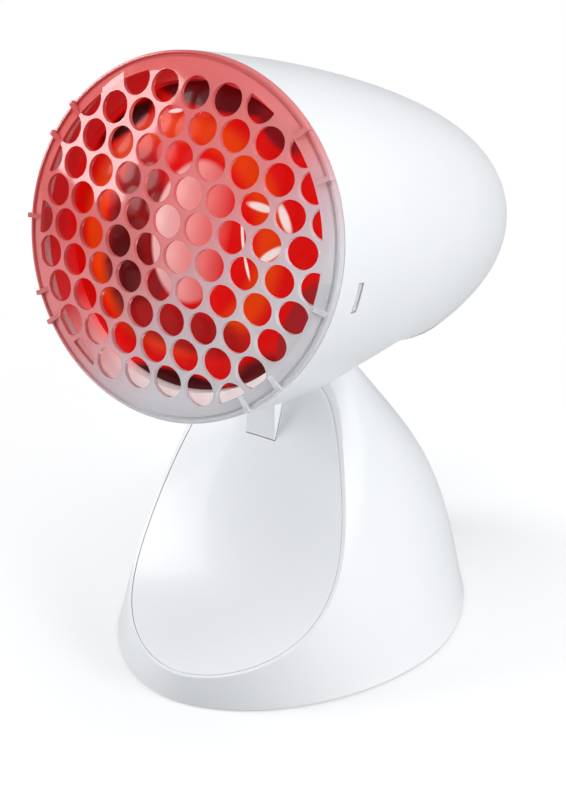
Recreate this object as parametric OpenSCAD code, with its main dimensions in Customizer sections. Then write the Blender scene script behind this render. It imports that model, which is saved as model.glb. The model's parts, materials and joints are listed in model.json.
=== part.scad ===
// Infrared heat lamp: a bullet-shaped head on a bell-shaped table base.
// +Z is up, the lamp faces -Y, and the origin is at the bottom centre of the whole lamp's box.
// The lamp is drawn at its middle tilt position.

/* [Bell base] */
// Half width of the foot
foot_half = 74; // [68:0.5:80]
// Reach of the foot in front of the hinge line
foot_front = 93.5; // [86:0.5:100]
// Reach of the foot behind the hinge line
foot_rear = 90; // [82:0.5:98]
// Wall of the bell
bell_wall = 2.6; // [2:0.1:3.2]
// Height of the bell's lower edge above the table
rim_lift = 0.8; // [0.5:0.1:1.5]
// Height of the bottom plate above the table
pad_h = 2; // [1.5:0.25:3]
// Radius of the rubber pads
pad_r = 7; // [5:0.5:9]
// Thickness of the bottom plate
plate_t = 2.5; // [2:0.1:3.5]

/* [Front panel] */
// How far the panel's centre line leans back for each millimetre of height
panel_lean = 0.36; // [0.3:0.01:0.4]
// Place of the panel's straight upper part, before the hinge line
panel_base = 60.9; // [58:0.1:64]
// Size of the sweep towards the foot
panel_sweep = 75.7; // [68:0.1:84]
// Height over which the sweep fades out
panel_fade = 19; // [17:0.25:21]
// Crown of the panel across its width
panel_crown = 0.003; // [0.002:0.0005:0.004]
// Height of the panel's upper end
panel_top = 121; // [117:0.5:122]
// Thickness of the panel
panel_t = 2.4; // [1.8:0.1:3]
// Width of the bell's lip round the panel
panel_lip = 1.2; // [0.8:0.1:2]
// Gap all round the panel
panel_gap = 0.3; // [0.2:0.05:0.5]

/* [Hinge] */
// Height of the hinge axle
pivot_z = 124; // [121:0.5:127]
// Radius of the rounded knuckle at the top of the bell
knuckle_r = 18; // [17:0.25:19]
// Half length of the knuckle
knuckle_half = 28; // [26:0.5:30]
// Gap between the knuckle and the floor of the saddle over it
saddle_room = 2.7; // [1.8:0.1:3.5]
// Radius of the hinge bolt
bolt_r = 3; // [2.5:0.25:4]
// Radial running clearance of the bolt
bolt_play = 0.06; // [0.03:0.01:0.1]
// Distance from the middle to the ends of the bolt's bosses
boss_end = 13; // [12:0.5:15]
// Width of the neck that hangs from the head
neck_w = 14.4; // [13:0.2:16]
// Radius of the neck's notched lower arc
neck_arc_r = 38; // [36:0.25:38.5]
// Distance of the neck's flat front from the axle
neck_front = 26.5; // [25:0.25:28]
// Distance of the neck's flat back from the axle
neck_back = 16; // [14:0.25:17]
// Gap on each side of the neck
neck_gap = 0.5; // [0.3:0.05:0.8]
// Thickness of each friction washer
washer_t = 1.6; // [1.2:0.1:2]
// Radius of each friction washer
washer_r = 10; // [8:0.5:12]
// Number of tilt positions
tilt_stops = 5; // [3:1:5]
// Angle from one tilt position to the next
tilt_step = 7.5; // [6:0.5:7.5]

/* [Head shell] */
// Room between the bulb's flange and the outside of the head
head_room = 11.9; // [10.5:0.1:13]
// Length of the head from its front rim to its tail
head_len = 230; // [224:1:238]
// Tilt of the head as drawn
tilt = 16.3; // [14:0.1:18]
// Wall of the head shell
head_wall = 2.4; // [2:0.1:3]
// Height of the centre of the front rim
face_z = 207; // [206:0.5:209]
// Distance of the centre of the front rim before the hinge
face_reach = 81; // [79:0.5:83]
// Reach of the saddle under the head, before the hinge
saddle_front = 50; // [46:0.5:54]
// Reach of the saddle's flat floor behind the hinge
saddle_back = 47; // [43:0.5:49]
// Length of the two snap windows round the rim
window_len = 12.4; // [10:0.2:16]
// Width of the snap windows
window_w = 4.4; // [3:0.2:6]
// Distance of the snap windows behind the rim
window_s = 19; // [17:0.5:22]
// Number of vent slots in the tail
vent_count = 7; // [3:2:9]
// Height of each vent slot
vent_h = 2.4; // [2:0.2:3]

/* [Guard grille] */
// Width of the plain rim round the perforated field
rim_w = 6.4; // [5.5:0.1:8]
// Depth of the rim in front of the shell
ring_h = 2.6; // [2:0.2:4]
// Height of the dome over the rim plane
dome_rise = 12; // [9:0.25:14]
// Height of the perforated field's edge over the rim plane
dome_edge = 3; // [2:0.25:4]
// Distance between hole centres
hole_pitch = 14.4; // [13.4:0.1:16]
// Width of the web between two holes
hole_web = 1.5; // [1.2:0.1:2.2]
// Height of the row of holes next to the middle
hole_row = -5.2; // [-6.2:0.1:-4.2]
// Thickness of the grille
grille_t = 2.2; // [1.6:0.1:3]
// Width of the ribs across the rim
rib_w = 1.8; // [1.2:0.1:2.6]

/* [Bulb] */
// Radius of the bulb's front flange
bulb_r = 60.5; // [57:0.25:61]
// Overall length of the bulb
bulb_len = 136; // [132:1:138]
// Distance of the lens behind the rim plane
bulb_set = 3; // [2:0.5:5]
// Height of the lens's dome
lens_rise = 9; // [7:0.5:11]
// Glass thickness
glass_t = 2.6; // [2:0.1:3.2]
// Radius of the bulb's neck
glass_neck_r = 21; // [19:0.5:22]
// Radius of the screw cap
cap_r = 13; // [12.7:0.05:13.3]
// Length of the screw cap
cap_len = 27; // [25:0.5:28]
// Radius of the lamp holder
holder_r = 20; // [18:0.5:22]

/* [Rear details] */
// Width of the rocker
rocker_w = 11; // [9:0.5:14]
// Length of the rocker
rocker_len = 17; // [15:0.5:20]
// Swing of the rocker to each side
rocker_swing = 9; // [6:0.5:10]
// Height of the switch on the rear wall
switch_z = 46; // [42:0.5:52]
// Bore of the cable inlet
inlet_r = 3.4; // [2.5:0.1:4.5]
// Height of the cable inlet
inlet_z = 18; // [17:0.5:22]
// Width of the cable clamp
clamp_w = 26; // [22:1:32]
// Length of the cable clamp
clamp_len = 9; // [7:0.5:12]

/* [Hidden] */
$fn = 96;
fit = 0.3;                       // gap between fixed pieces that face each other
thread_fit = 0.05;               // radial gap round a screw in its bore
sides = 72;                      // sides of the bell
levels = 16;                     // rings of points up the bell
head_steps = 30;                 // points along the head's profile
plan_power = 1.85;               // fullness of the bell's plan and of the knuckle
bell_top = pivot_z;
flank_apex = pivot_z + 11;       // heights at which the bell's three outlines would close
front_apex = pivot_z + 49.75;
rear_apex = pivot_z + 50.5;
seat_wall = 2;                   // wall behind the front panel
plate_top = pad_h + plate_t;
head_r = bulb_r + head_room;     // outer radius of the head at its front
field_r = head_r - rim_w;        // radius of the perforated field

neck_half = neck_w / 2;
neck_top = 10;                   // height of the neck's front above the axle
slot_half = neck_half + neck_gap;
slot_r = neck_arc_r + 0.6;
notch_r = 2.2;
saddle_h = knuckle_r + saddle_room;        // floor of the saddle over the hinge axle
flange_in = saddle_h + head_wall + fit;
flange_out = flange_in + 3;
flange_half = 20;
flange_len = 17;                 // half length of the neck's flange
web_len = 12;                    // half length of the web under it
screw_x = 13;
screw_y = 12;
stop_range = tilt_step * (tilt_stops - 1) / 2;

// Place of the hinge in the head's own frame: depth behind the rim, and height below its centre line
face_y = -face_reach;
pivot_s = face_reach * cos(tilt) + (face_z - pivot_z) * sin(tilt);
pivot_h = (face_z - pivot_z) * cos(tilt) - face_reach * sin(tilt);

shell_front = ring_h + fit;
hole_r = (hole_pitch - hole_web) / 2;
dome_radius = (field_r * field_r + pow(dome_rise - dome_edge, 2)) / (2 * (dome_rise - dome_edge));
rib_angles = [47, 30.5, -11, -40, -53.5, 145, 157, 185, 210, 220];
window_angle = -7;

flange_s = bulb_set + lens_rise; // where the lens meets the bulb's flange
seam_s = flange_s + 4;           // where the lens is sealed to the reflector
cup_s = flange_s + 8;
neck_s = bulb_set + 0.61 * bulb_len;          // where the reflector narrows to its neck
cap_s = bulb_set + bulb_len - cap_len - 2;
holder_s = cap_s + 3;
holder_len = 42;
strap_s = holder_s + holder_len;
strap_w = 22;
strap_t = 1.5;
strap_x = 38;
collar_s = 8;

screw_places = [for (sx = [-1, 1], y = [-46, 44]) [sx * 34, y]];
pad_places = [for (sx = [-1, 1], y = [-62, 58]) [sx * 24, y]];
screw_r = 1.5;

switch_lean = atan((bell_rear(switch_z - 8) - bell_rear(switch_z + 8)) / 16);
rocker_room = 0.4;
switch_in = rocker_w / 2 + rocker_room;
switch_out = switch_in + 1.6;
switch_len = rocker_len / 2 + 0.9;
switch_deep = 13;
rocker_axle = 1.2;
rocker_pivot = -3;               // the rocker's axle below the wall's surface

// Fore and aft ends of the whole lamp, which put the origin under the middle of its box
front_end = face_y - field_r * sin(tilt) - dome_edge * cos(tilt);
rear_end = face_y + max([for (i = [0 : head_steps]) let(s = head_len * sin(90 * i / head_steps))
    s * cos(tilt) + head_out(s) * sin(tilt)]);
shift_y = -(front_end + rear_end) / 2;

// ---- outlines ----

// Half width, front reach and rear reach of the bell at height z above the table
function bell_half(z) = foot_half * pow(1 - pow(z / flank_apex, 0.75), 0.35);
function bell_front(z) = foot_front * pow(1 - pow(z / front_apex, 2.4), 2.8);
function bell_rear(z) = foot_rear * pow(1 - pow(z / rear_apex, 2.5), 2.9);

function rounded(v, reach) = reach * sign(v) * pow(abs(v), 2 / plan_power);

// One level of the bell as points, set in from the outside
function bell_ring(z, inset) = let(h = max(0, z), w = bell_half(h) - inset)
    [for (i = [0 : sides - 1]) let(a = 360 * (i + 0.5) / sides)
        [rounded(cos(a), w), rounded(sin(a), (sin(a) < 0 ? bell_front(h) : bell_rear(h)) - inset), z]];

// Distance of the panel's surface before the hinge line, at height z and at depth d under the surface
function panel_line(z, d) = panel_base - panel_lean * (z + 0.7 * d)
    + panel_sweep * exp(-(z + 0.7 * d) / panel_fade) - 0.8 * d;

// Profile of the head: radius at depth s behind the rim plane
function head_out(s) = head_r * pow(max(0, 1 - pow(s / head_len, 1.5)), 1 / 2.75);
function head_in(s) = (head_r - head_wall)
    * pow(max(0, 1 - pow(s / (head_len - head_wall), 1.5)), 1 / 2.75);

// Radius of the knuckle at distance x from the middle
function knuckle_at(x, r, half) = r * pow(max(0, 1 - pow(abs(x) / half, plan_power)), 1 / plan_power);

// Radius of the bulb's reflector at depth s, and depth of the lens at radius r
function cup_r(s) = bulb_r * sqrt(1 - (1 - pow(glass_neck_r / bulb_r, 2)) * (s - cup_s) / (neck_s - cup_s));
function lens_s(r, rise) = bulb_set + lens_rise - rise + rise * pow(r / bulb_r, 2);

// ---- helpers ----

// Closed solid through a stack of rings with equal numbers of points
module loft(rings) {
    n = len(rings[0]);
    last = len(rings) - 1;
    polyhedron(
        points = [for (ring = rings) for (p = ring) p],
        faces = concat([[for (i = [0 : n - 1]) i]],
            [for (k = [0 : last - 1]) for (i = [0 : n - 1]) let(j = (i + 1) % n)
                [k * n + i, (k + 1) * n + i, k * n + j]],
            [for (k = [0 : last - 1]) for (i = [0 : n - 1]) let(j = (i + 1) % n)
                [k * n + j, (k + 1) * n + i, (k + 1) * n + j]],
            [[for (i = [n - 1 : -1 : 0]) last * n + i]]));
}

// The bell as a solid, set in from the outside
module bell(inset) {
    low = inset > 0 ? [bell_ring(-1, inset)] : [];
    loft(concat(low, [for (k = [0 : levels])
        bell_ring(rim_lift + (bell_top - rim_lift) * k / levels, inset)]));
}

// Everything before the panel's surface, moved back by depth d
module before_panel(d) {
    half = foot_half - 8;
    steps = 8;
    loft([for (k = [0 : 15]) let(z = 6 + (bell_top + 16) * pow(k / 15, 1.6)) concat(
        [for (i = [0 : steps]) let(x = half * (1 - 2 * i / steps))
            [x, panel_crown * x * x - panel_line(z, d), z]],
        [[-half, -2 * foot_front, z], [half, -2 * foot_front, z]])]);
}

// Rounded knuckle about the hinge axis
module knuckle(r, half) {
    steps = 20;
    translate([0, 0, pivot_z])
        rotate([0, 90, 0])
            rotate_extrude()
                polygon(concat([[0, -half], [0, half]],
                    [for (i = [1 : steps - 1]) let(x = half * cos(180 * i / steps))
                        [knuckle_at(x, r, half), x]]));
}

// A rod along X through the hinge
module hinge_rod(r, from, to) {
    translate([from, 0, pivot_z])
        rotate([0, 90, 0])
            cylinder(r = r, h = to - from);
}

// A flat form in side view about the hinge (forwards is -X, up is +Y), drawn out across the lamp
module across(half) {
    translate([-half, 0, pivot_z])
        rotate([90, 0, 90])
            linear_extrude(height = 2 * half)
                children();
}

// A block over the hinge in side view, square to the head's centre line
module over_hinge(half, from, to) {
    rotate(-tilt)
        translate([-half, from])
            square([2 * half, to - from]);
}

// Side view of the neck, grown by more
module neck_side(more) {
    intersection() {
        circle(r = neck_arc_r + more);
        translate([-neck_front - more, -neck_arc_r - more])
            square([neck_front + neck_back + 2 * more, neck_arc_r + neck_top + 2 * more]);
    }
    over_hinge(web_len + more, 0, flange_out + more);
}

// Puts what is drawn in the head's own frame (centre line along Z, front at Z = 0) on the lamp
module on_head() {
    translate([0, face_y, face_z])
        rotate([90 - tilt, 0, 0])
            children();
}

// Puts what is drawn round the hinge line on the lamp
module on_lamp() {
    translate([0, shift_y, 0])
        children();
}

// ---- the base ----

// Room in which the neck swings
module neck_room() {
    for (a = [-stop_range, stop_range])
        across(slot_half)
            rotate(a)
                intersection() {
                    circle(r = slot_r);
                    translate([-2 * slot_r, -slot_r])
                        square([2 * slot_r + neck_back + 0.5, 2 * slot_r]);
                }
}

module screw_pillars(r) {
    for (p = screw_places)
        translate([p[0], p[1], plate_top + fit])
            cylinder(r = r, h = bell_top);
}

// The space inside the bell
module bell_inside() {
    difference() {
        union() {
            bell(bell_wall);
            knuckle(knuckle_r - bell_wall, knuckle_half - bell_wall);
        }
        before_panel(panel_t + fit + seat_wall);
        hinge_rod(slot_r + bell_wall, -slot_half - bell_wall, slot_half + bell_wall);
        hinge_rod(2 * bolt_r + 2, -boss_end, boss_end);
        translate([-slot_half - bell_wall, -19, bell_top - slot_r - 8])
            cube([2 * (slot_half + bell_wall), 38, 12]);
        screw_pillars(4);
    }
}

module base_shell() {
    color("white") on_lamp() difference() {
        union() {
            bell(0);
            knuckle(knuckle_r, knuckle_half);
        }
        bell_inside();
        before_panel(0);
        intersection() {
            bell(panel_lip);
            before_panel(panel_t + fit);
            translate([-foot_half, -foot_front, 0])
                cube([2 * foot_half, foot_front, panel_top + panel_gap]);
        }
        neck_room();
        hinge_rod(bolt_r + bolt_play, -boss_end - 1, boss_end + 1);
        spring_pocket();
        for (p = screw_places)
            translate([p[0], p[1], 0])
                cylinder(r = screw_r + thread_fit, h = 16);
        on_inlet()
            cylinder(r = inlet_r + 2 + fit, h = 30, center = true);
        on_switch() {
            translate([0, 0, -8])
                linear_extrude(height = 24)
                    switch_plan(fit);
            translate([0, 0, -0.9])
                linear_extrude(height = 9)
                    switch_plan(2 + fit);
        }
    }
}

module front_panel() {
    color("white") on_lamp() difference() {
        intersection() {
            bell(panel_lip + panel_gap);
            before_panel(panel_t);
            translate([-foot_half, -foot_front, 0])
                cube([2 * foot_half, foot_front, panel_top]);
        }
        before_panel(0);
        neck_room();
    }
}

// Flat outline of the bell at height z, set in
module bell_plan(z, inset) {
    polygon([for (p = bell_ring(z, inset)) [p[0], p[1]]]);
}

module base_plate() {
    color("gainsboro") on_lamp() difference() {
        translate([0, 0, pad_h])
            linear_extrude(height = plate_t)
                bell_plan(plate_top + 1, bell_wall + fit);
        for (p = screw_places)
            translate([p[0], p[1], 0]) {
                cylinder(r = screw_r + 0.3, h = 20);
                cylinder(r = 2 * screw_r + 0.3, h = pad_h + 1.2);
            }
        for (p = pad_places)
            translate([p[0], p[1], 0])
                cylinder(r = pad_r + 0.2, h = pad_h + 0.6);
    }
}

module rubber_pads() {
    color("dimgray") on_lamp()
        for (p = pad_places)
            translate([p[0], p[1], 0])
                cylinder(r = pad_r, h = pad_h + 0.6);
}

module base_screws() {
    color("silver") on_lamp()
        for (p = screw_places)
            translate([p[0], p[1], pad_h]) {
                cylinder(r = 2 * screw_r, h = 1.2);
                cylinder(r = screw_r, h = 13);
            }
}

module hinge_bolt() {
    color("silver") on_lamp() {
        hinge_rod(bolt_r, -boss_end - 1, boss_end + 7);
        hinge_rod(2 * bolt_r, -boss_end - 3.5, -boss_end);
    }
}

module hinge_nut() {
    color("silver") on_lamp() difference() {
        translate([boss_end + 1.5, 0, pivot_z])
            rotate([0, 90, 0])
                cylinder(r = 1.9 * bolt_r, h = 4.5, $fn = 6);
        hinge_rod(bolt_r + thread_fit, boss_end, boss_end + 8);
    }
}

module friction_washers() {
    color("dimgray") on_lamp()
        for (from = [-slot_half, slot_half - washer_t])
            difference() {
                hinge_rod(washer_r, from, from + washer_t);
                hinge_rod(bolt_r + bolt_play, from - 1, from + washer_t + 1);
            }
}

module spring_washer() {
    color("silver") on_lamp()
        translate([boss_end, 0, pivot_z])
            rotate([0, 90, 0])
                rotate_extrude()
                    polygon([[bolt_r + 0.2, 0.7], [bolt_r + 0.2, 1.5], [2.1 * bolt_r, 0.8], [2.1 * bolt_r, 0]]);
}

// Sunk bed for the click spring under the neck
module spring_pocket() {
    translate([-5.4, -15, bell_top - slot_r - 5])
        cube([10.8, 30, 8]);
}

module detent_spring() {
    bed = -slot_r - 5;
    nose = -neck_arc_r - fit;
    color("silver") on_lamp()
        across(5)
            polygon([[-14.5, bed], [-10, bed], [-2, nose - 1.3], [2, nose - 1.3], [10, bed], [14.5, bed],
                [14.5, bed + 0.8], [10.4, bed + 0.8], [2.2, nose - 0.4], [0.8, nose], [-0.8, nose],
                [-2.2, nose - 0.4], [-10.4, bed + 0.8], [-14.5, bed + 0.8]]);
}

module terminal_block() {
    color("whitesmoke") on_lamp() difference() {
        translate([-14, 24, plate_top])
            cube([28, 14, 13]);
        for (x = [-8, 8], y = [27.5, 34.5])
            translate([x, y, plate_top + 6])
                cylinder(r = 2, h = 10);
        for (x = [-8, 8])
            translate([x, 31, plate_top + 5])
                rotate([90, 0, 0])
                    cylinder(r = 1.6, h = 20, center = true);
    }
}

module on_inlet() {
    translate([0, bell_rear(inlet_z), inlet_z])
        rotate([-90, 0, 0])
            children();
}

module cable_inlet() {
    color("dimgray") on_lamp() on_inlet()
        rotate_extrude()
            polygon([[inlet_r, 4], [inlet_r + 2.5, 4], [inlet_r + 4.5, 2.2], [inlet_r + 4.5, 1],
                [inlet_r + 2, 1], [inlet_r + 2, -bell_wall - 2.4], [inlet_r + 4, -bell_wall - 2.4],
                [inlet_r + 4, -bell_wall - 4.4], [inlet_r, -bell_wall - 4.4]]);
}

module cable_clamp() {
    back = bell_rear(inlet_z) - 15;
    color("whitesmoke") on_lamp() difference() {
        translate([-clamp_w / 2, back - clamp_len, plate_top])
            cube([clamp_w, clamp_len, inlet_z - plate_top + 3]);
        translate([0, back + 1, inlet_z])
            rotate([90, 0, 0])
                cylinder(r = inlet_r, h = clamp_len + 2);
        for (x = [4 - clamp_w / 2, clamp_w / 2 - 4])
            translate([x, back - clamp_len / 2, inlet_z - 6])
                cylinder(r = screw_r, h = 20);
    }
}

// Puts what is drawn square to the rear wall (outwards is +Z, down the wall is +Y) on the bell
module on_switch() {
    translate([0, bell_rear(switch_z), switch_z])
        rotate([switch_lean - 90, 0, 0])
            children();
}

module switch_plan(more) {
    square([2 * (switch_out + more), 2 * (switch_len + 1.6 + more)], center = true);
}

module switch_housing() {
    color("dimgray") on_lamp() on_switch() difference() {
        union() {
            translate([0, 0, -switch_deep])
                linear_extrude(height = switch_deep + 0.9)
                    switch_plan(0);
            translate([0, 0, -0.6])
                linear_extrude(height = 1.5)
                    switch_plan(2);
        }
        translate([-switch_in, -switch_len, -switch_deep + 1.6])
            cube([2 * switch_in, 2 * switch_len, 2 * switch_deep]);
        translate([0, 0, rocker_pivot])
            rotate([0, 90, 0])
                cylinder(r = rocker_axle + bolt_play, h = 2 * switch_in + 2, center = true);
    }
}

module switch_rocker() {
    half = rocker_len / 2;
    color("firebrick") on_lamp() on_switch()
        translate([0, 0, rocker_pivot])
            rotate([-rocker_swing, 0, 0]) {
                translate([-rocker_w / 2, 0, 0])
                    rotate([90, 0, 90])
                        linear_extrude(height = rocker_w)
                            polygon([[-half + 0.3, 4.7], [0, 3.4], [half - 0.3, 4.7], [half - 0.3, 0.6],
                                [3, -3], [-3, -3], [-half + 0.3, 0.6]]);
                rotate([0, 90, 0])
                    cylinder(r = rocker_axle, h = 2 * switch_in + 1.6, center = true);
            }
}

// ---- the head ----

module head_outside() {
    rotate_extrude()
        polygon(concat([[0, 0]], [for (i = [0 : head_steps])
            let(s = head_len * sin(90 * i / head_steps)) [head_out(s), -s]]));
}

module head_inside() {
    rotate_extrude()
        polygon(concat([[0, 0]], [for (i = [0 : 18])
            let(s = (head_len - head_wall) * sin(90 * i / 18)) [head_in(s), -s]]));
}

// The saddle that is cut across the underside of the head, over the hinge, grown by more
module saddle(more) {
    top = saddle_h + more;
    front = saddle_front + more;
    back = saddle_back + more;
    across(2 * head_r)
        rotate(-tilt)
            polygon([[-front, -head_r], [-front, 0], [0.5 * more - 0.78 * front, 0.6 * top],
                [-0.28 * front, top], [back, top], [back + 8, 0.1 * top], [back + 8, -head_r]]);
}

// Where the neck's four screws go, square to the flange
module at_neck_screws() {
    translate([0, 0, pivot_z])
        rotate([-tilt, 0, 0])
            for (x = [-screw_x, screw_x], y = [-screw_y, screw_y])
                translate([x, y, 0])
                    children();
}

module head_shell() {
    row = vent_h * 2.6;
    color("white") on_lamp() difference() {
        on_head()
            head_outside();
        saddle(0);
        difference() {
            on_head() difference() {
                head_inside();
                for (x = [-strap_x, strap_x])
                    translate([x, 0, -head_len])
                        cylinder(r = 4.5, h = head_len - strap_s - strap_t - fit);
            }
            saddle(head_wall);
        }
        across(neck_half + fit)
            neck_side(fit);
        at_neck_screws()
            cylinder(r = screw_r + thread_fit, h = flange_out);
        on_head() {
            translate([0, 0, -shell_front])
                cylinder(r = 2 * head_r, h = 10);
            for (x = [-strap_x, strap_x])
                translate([x, 0, -strap_s - 12])
                    cylinder(r = screw_r + thread_fit, h = 14);
            for (side = [0, 1])
                mirror([side, 0, 0])
                    rotate(window_angle)
                        translate([head_r - 8, -window_len / 2, -window_s - window_w / 2])
                            cube([16, window_len, window_w]);
            for (i = [-(vent_count - 1) / 2 : (vent_count - 1) / 2])
                translate([-20 + 3 * abs(i), i * row - vent_h / 2, -head_len - 5])
                    cube([40 - 6 * abs(i), vent_h, 32]);
        }
    }
}

// Staggered rows of round holes
module hole_field() {
    row = hole_pitch * sqrt(3) / 2;
    for (j = [-4 : 5], i = [-6 : 6]) {
        x = hole_pitch * (i + (j % 2 == 0 ? 0.5 : 0));
        y = row * j + hole_row;
        if (norm([x, y]) < field_r + hole_r - 3)
            translate([x, y, -20])
                cylinder(r = hole_r, h = 60);
    }
}

// Snap tongue that reaches back inside the shell, with its hook in a window of the shell
module snap_tongue() {
    out = head_in(window_s) - 0.7;
    low = window_s + window_w / 2 - 0.5;
    translate([out - 2, 0.6 - window_len / 2, -low])
        cube([2, window_len - 1.2, low + 0.6]);
    translate([out - 1, 0.6 - window_len / 2, -low])
        cube([3.4, window_len - 1.2, window_w - 1]);
}

module guard_grille() {
    color([1, 0.72, 0.72, 0.5]) on_lamp() on_head() {
        difference() {
            union() {
                intersection() {
                    translate([0, 0, dome_rise - dome_radius])
                        sphere(r = dome_radius, $fn = 200);
                    translate([0, 0, -ring_h])
                        cylinder(r = field_r, h = 30);
                }
                rotate_extrude()
                    polygon([[field_r - 1, -ring_h], [head_r, -ring_h], [head_r, 0.4], [head_r - 0.4, 0.9],
                        [head_r - 1.2, 0.9], [head_r - 1.4, 0.2], [head_r - 2.2, 0.2], [head_r - 2.6, 1],
                        [field_r, dome_edge], [field_r - 1, dome_edge]]);
                for (a = rib_angles)
                    rotate(a)
                        translate([0, rib_w / 2, 0])
                            rotate([90, 0, 0])
                                linear_extrude(height = rib_w)
                                    polygon([[field_r - 1, 1], [head_r - 1, -1.2], [head_r + 0.6, -1.2],
                                        [head_r + 0.6, 2.4], [field_r + 0.8, dome_edge],
                                        [field_r - 1, dome_edge - 0.7]]);
            }
            intersection() {
                translate([0, 0, dome_rise - dome_radius])
                    sphere(r = dome_radius - grille_t, $fn = 200);
                translate([0, 0, -20])
                    cylinder(r = head_r - 3.4, h = 60);
            }
            intersection() {
                hole_field();
                translate([0, 0, -20])
                    cylinder(r = field_r, h = 60);
            }
        }
        for (side = [0, 1])
            mirror([side, 0, 0])
                rotate(window_angle)
                    snap_tongue();
    }
}

module inner_collar() {
    r = bulb_r + 0.8;
    color("white") on_lamp() on_head() difference() {
        rotate_extrude()
            polygon([[r, -collar_s], [head_in(collar_s + 1.6) - fit, -collar_s],
                [head_in(collar_s + 1.6) - fit, -collar_s - 1.6], [r + 1.6, -collar_s - 1.6],
                [r + 1.6, -collar_s - 18], [r, -collar_s - 18]]);
        for (side = [0, 1])
            mirror([side, 0, 0])
                rotate(window_angle)
                    translate([head_in(window_s) - 3.2, -window_len / 2, -collar_s - 3])
                        cube([10, window_len, 6]);
    }
}

module neck_bracket() {
    color("gainsboro") on_lamp() difference() {
        union() {
            across(neck_half)
                neck_side(0);
            across(flange_half)
                over_hinge(flange_len, flange_in, flange_out);
        }
        hinge_rod(bolt_r + bolt_play, -neck_w, neck_w);
        for (side = [-1, 1])
            hinge_rod(washer_r + 0.6, side > 0 ? slot_half - washer_t - fit : -neck_w,
                side > 0 ? neck_w : washer_t + fit - slot_half);
        across(neck_w)
            for (i = [-(tilt_stops - 1) / 2 : (tilt_stops - 1) / 2])
                rotate(i * tilt_step)
                    translate([0, -neck_arc_r - 0.6])
                        circle(r = notch_r);
        at_neck_screws()
            cylinder(r = screw_r + 0.2, h = 2 * flange_out);
    }
}

module neck_screws() {
    color("silver") on_lamp() at_neck_screws() {
        translate([0, 0, saddle_h - 1])
            cylinder(r = screw_r, h = flange_out - saddle_h + 2);
        translate([0, 0, flange_out + 0.1])
            cylinder(r = 2 * screw_r, h = 1.6);
    }
}

module bulb_lens() {
    color("red") on_lamp() on_head()
        rotate_extrude()
            polygon(concat(
                [for (i = [0 : 12]) let(r = bulb_r * i / 12) [r, -lens_s(r, lens_rise)]],
                [[bulb_r, -seam_s], [bulb_r - glass_t, -seam_s]],
                [for (i = [12 : -1 : 0]) let(r = (bulb_r - glass_t) * i / 12)
                    [r, -lens_s(r, lens_rise) - glass_t]]));
}

module bulb_reflector() {
    steps = 14;
    color("darkred") on_lamp() on_head()
        rotate_extrude()
            polygon(concat(
                [[bulb_r - glass_t, -seam_s], [bulb_r, -seam_s]],
                [for (i = [0 : steps]) let(s = cup_s + (neck_s - cup_s) * i / steps) [cup_r(s), -s]],
                [[glass_neck_r - 1.5, -neck_s - 9], [cap_r - 0.4, -cap_s], [cap_r - 2.4, -cap_s],
                    [glass_neck_r - 3.6, -neck_s - 8]],
                [for (i = [steps : -1 : 0]) let(s = cup_s + (neck_s - cup_s) * i / steps)
                    [cup_r(s) - 2, -s + 1]]));
}

module bulb_cap() {
    color("gold") on_lamp() on_head()
        translate([0, 0, -cap_s - cap_len])
            difference() {
                union() {
                    translate([0, 0, 4])
                        cylinder(r = cap_r, h = cap_len - 4);
                    cylinder(r1 = 6, r2 = cap_r - 0.6, h = 4);
                }
                translate([0, 0, 5])
                    cylinder(r = cap_r - 1, h = cap_len);
            }
}

module bulb_contact() {
    color("silver") on_lamp() on_head()
        translate([0, 0, -cap_s - cap_len - 2])
            cylinder(r = 4.5, h = 2);
}

filament_s = bulb_set + 0.434 * bulb_len;
filament_ring = 9;
module filament() {
    color("orange") on_lamp() on_head()
        translate([0, 0, -filament_s])
            rotate(-60)
                rotate_extrude(angle = 300)
                    translate([filament_ring, 0])
                        circle(r = 0.7, $fn = 24);
}

module filament_stem() {
    color("lightgray") on_lamp() on_head() {
        translate([0, 0, -cap_s]) {
            cylinder(r = 5, h = cap_s - neck_s - 2);
            cylinder(r = cap_r - 2.4 - fit, h = 1.5);
        }
        for (a = [-54, 54, 180])
            rotate(a)
                translate([filament_ring, 0, -neck_s])
                    cylinder(r = 0.6, h = neck_s - filament_s - 1);
        translate([0, 0, -neck_s - 4])
            cylinder(r = filament_ring + 1, h = 4);
    }
}

module lamp_holder() {
    bore = cap_r + 1.3;
    color("ivory") on_lamp() on_head()
        rotate_extrude()
            polygon([[bore, -holder_s], [holder_r, -holder_s], [holder_r, -holder_s - 22],
                [holder_r - 3, -holder_s - 25], [holder_r - 3, -strap_s], [0, -strap_s],
                [0, -strap_s + 9], [bore, -strap_s + 9]]);
}

module holder_sleeve() {
    color("gold") on_lamp() on_head()
        translate([0, 0, -cap_s - cap_len + 2])
            difference() {
                cylinder(r = cap_r + 1, h = cap_len - 6);
                cylinder(r = cap_r + fit, h = 3 * cap_len, center = true);
            }
}

module holder_contact() {
    top = cap_s + cap_len + 2 + fit;
    color("gold") on_lamp() on_head()
        translate([-3, 0, 0])
            rotate([90, 0, 90])
                linear_extrude(height = 6)
                    polygon([[-10, -strap_s + 9], [-2, -strap_s + 9], [4, -top], [-4, -top], [-4, -top - 0.6],
                        [2.5, -top - 0.6], [-2.6, -strap_s + 9.7], [-10, -strap_s + 9.7]]);
}

module holder_strap() {
    color("silver") on_lamp() on_head() difference() {
        translate([-strap_x - 7, -strap_w / 2, -strap_s - strap_t])
            cube([2 * strap_x + 14, strap_w, strap_t]);
        for (x = [-strap_x, strap_x])
            translate([x, 0, -strap_s - 5])
                cylinder(r = screw_r + 0.2, h = 10);
    }
}

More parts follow.
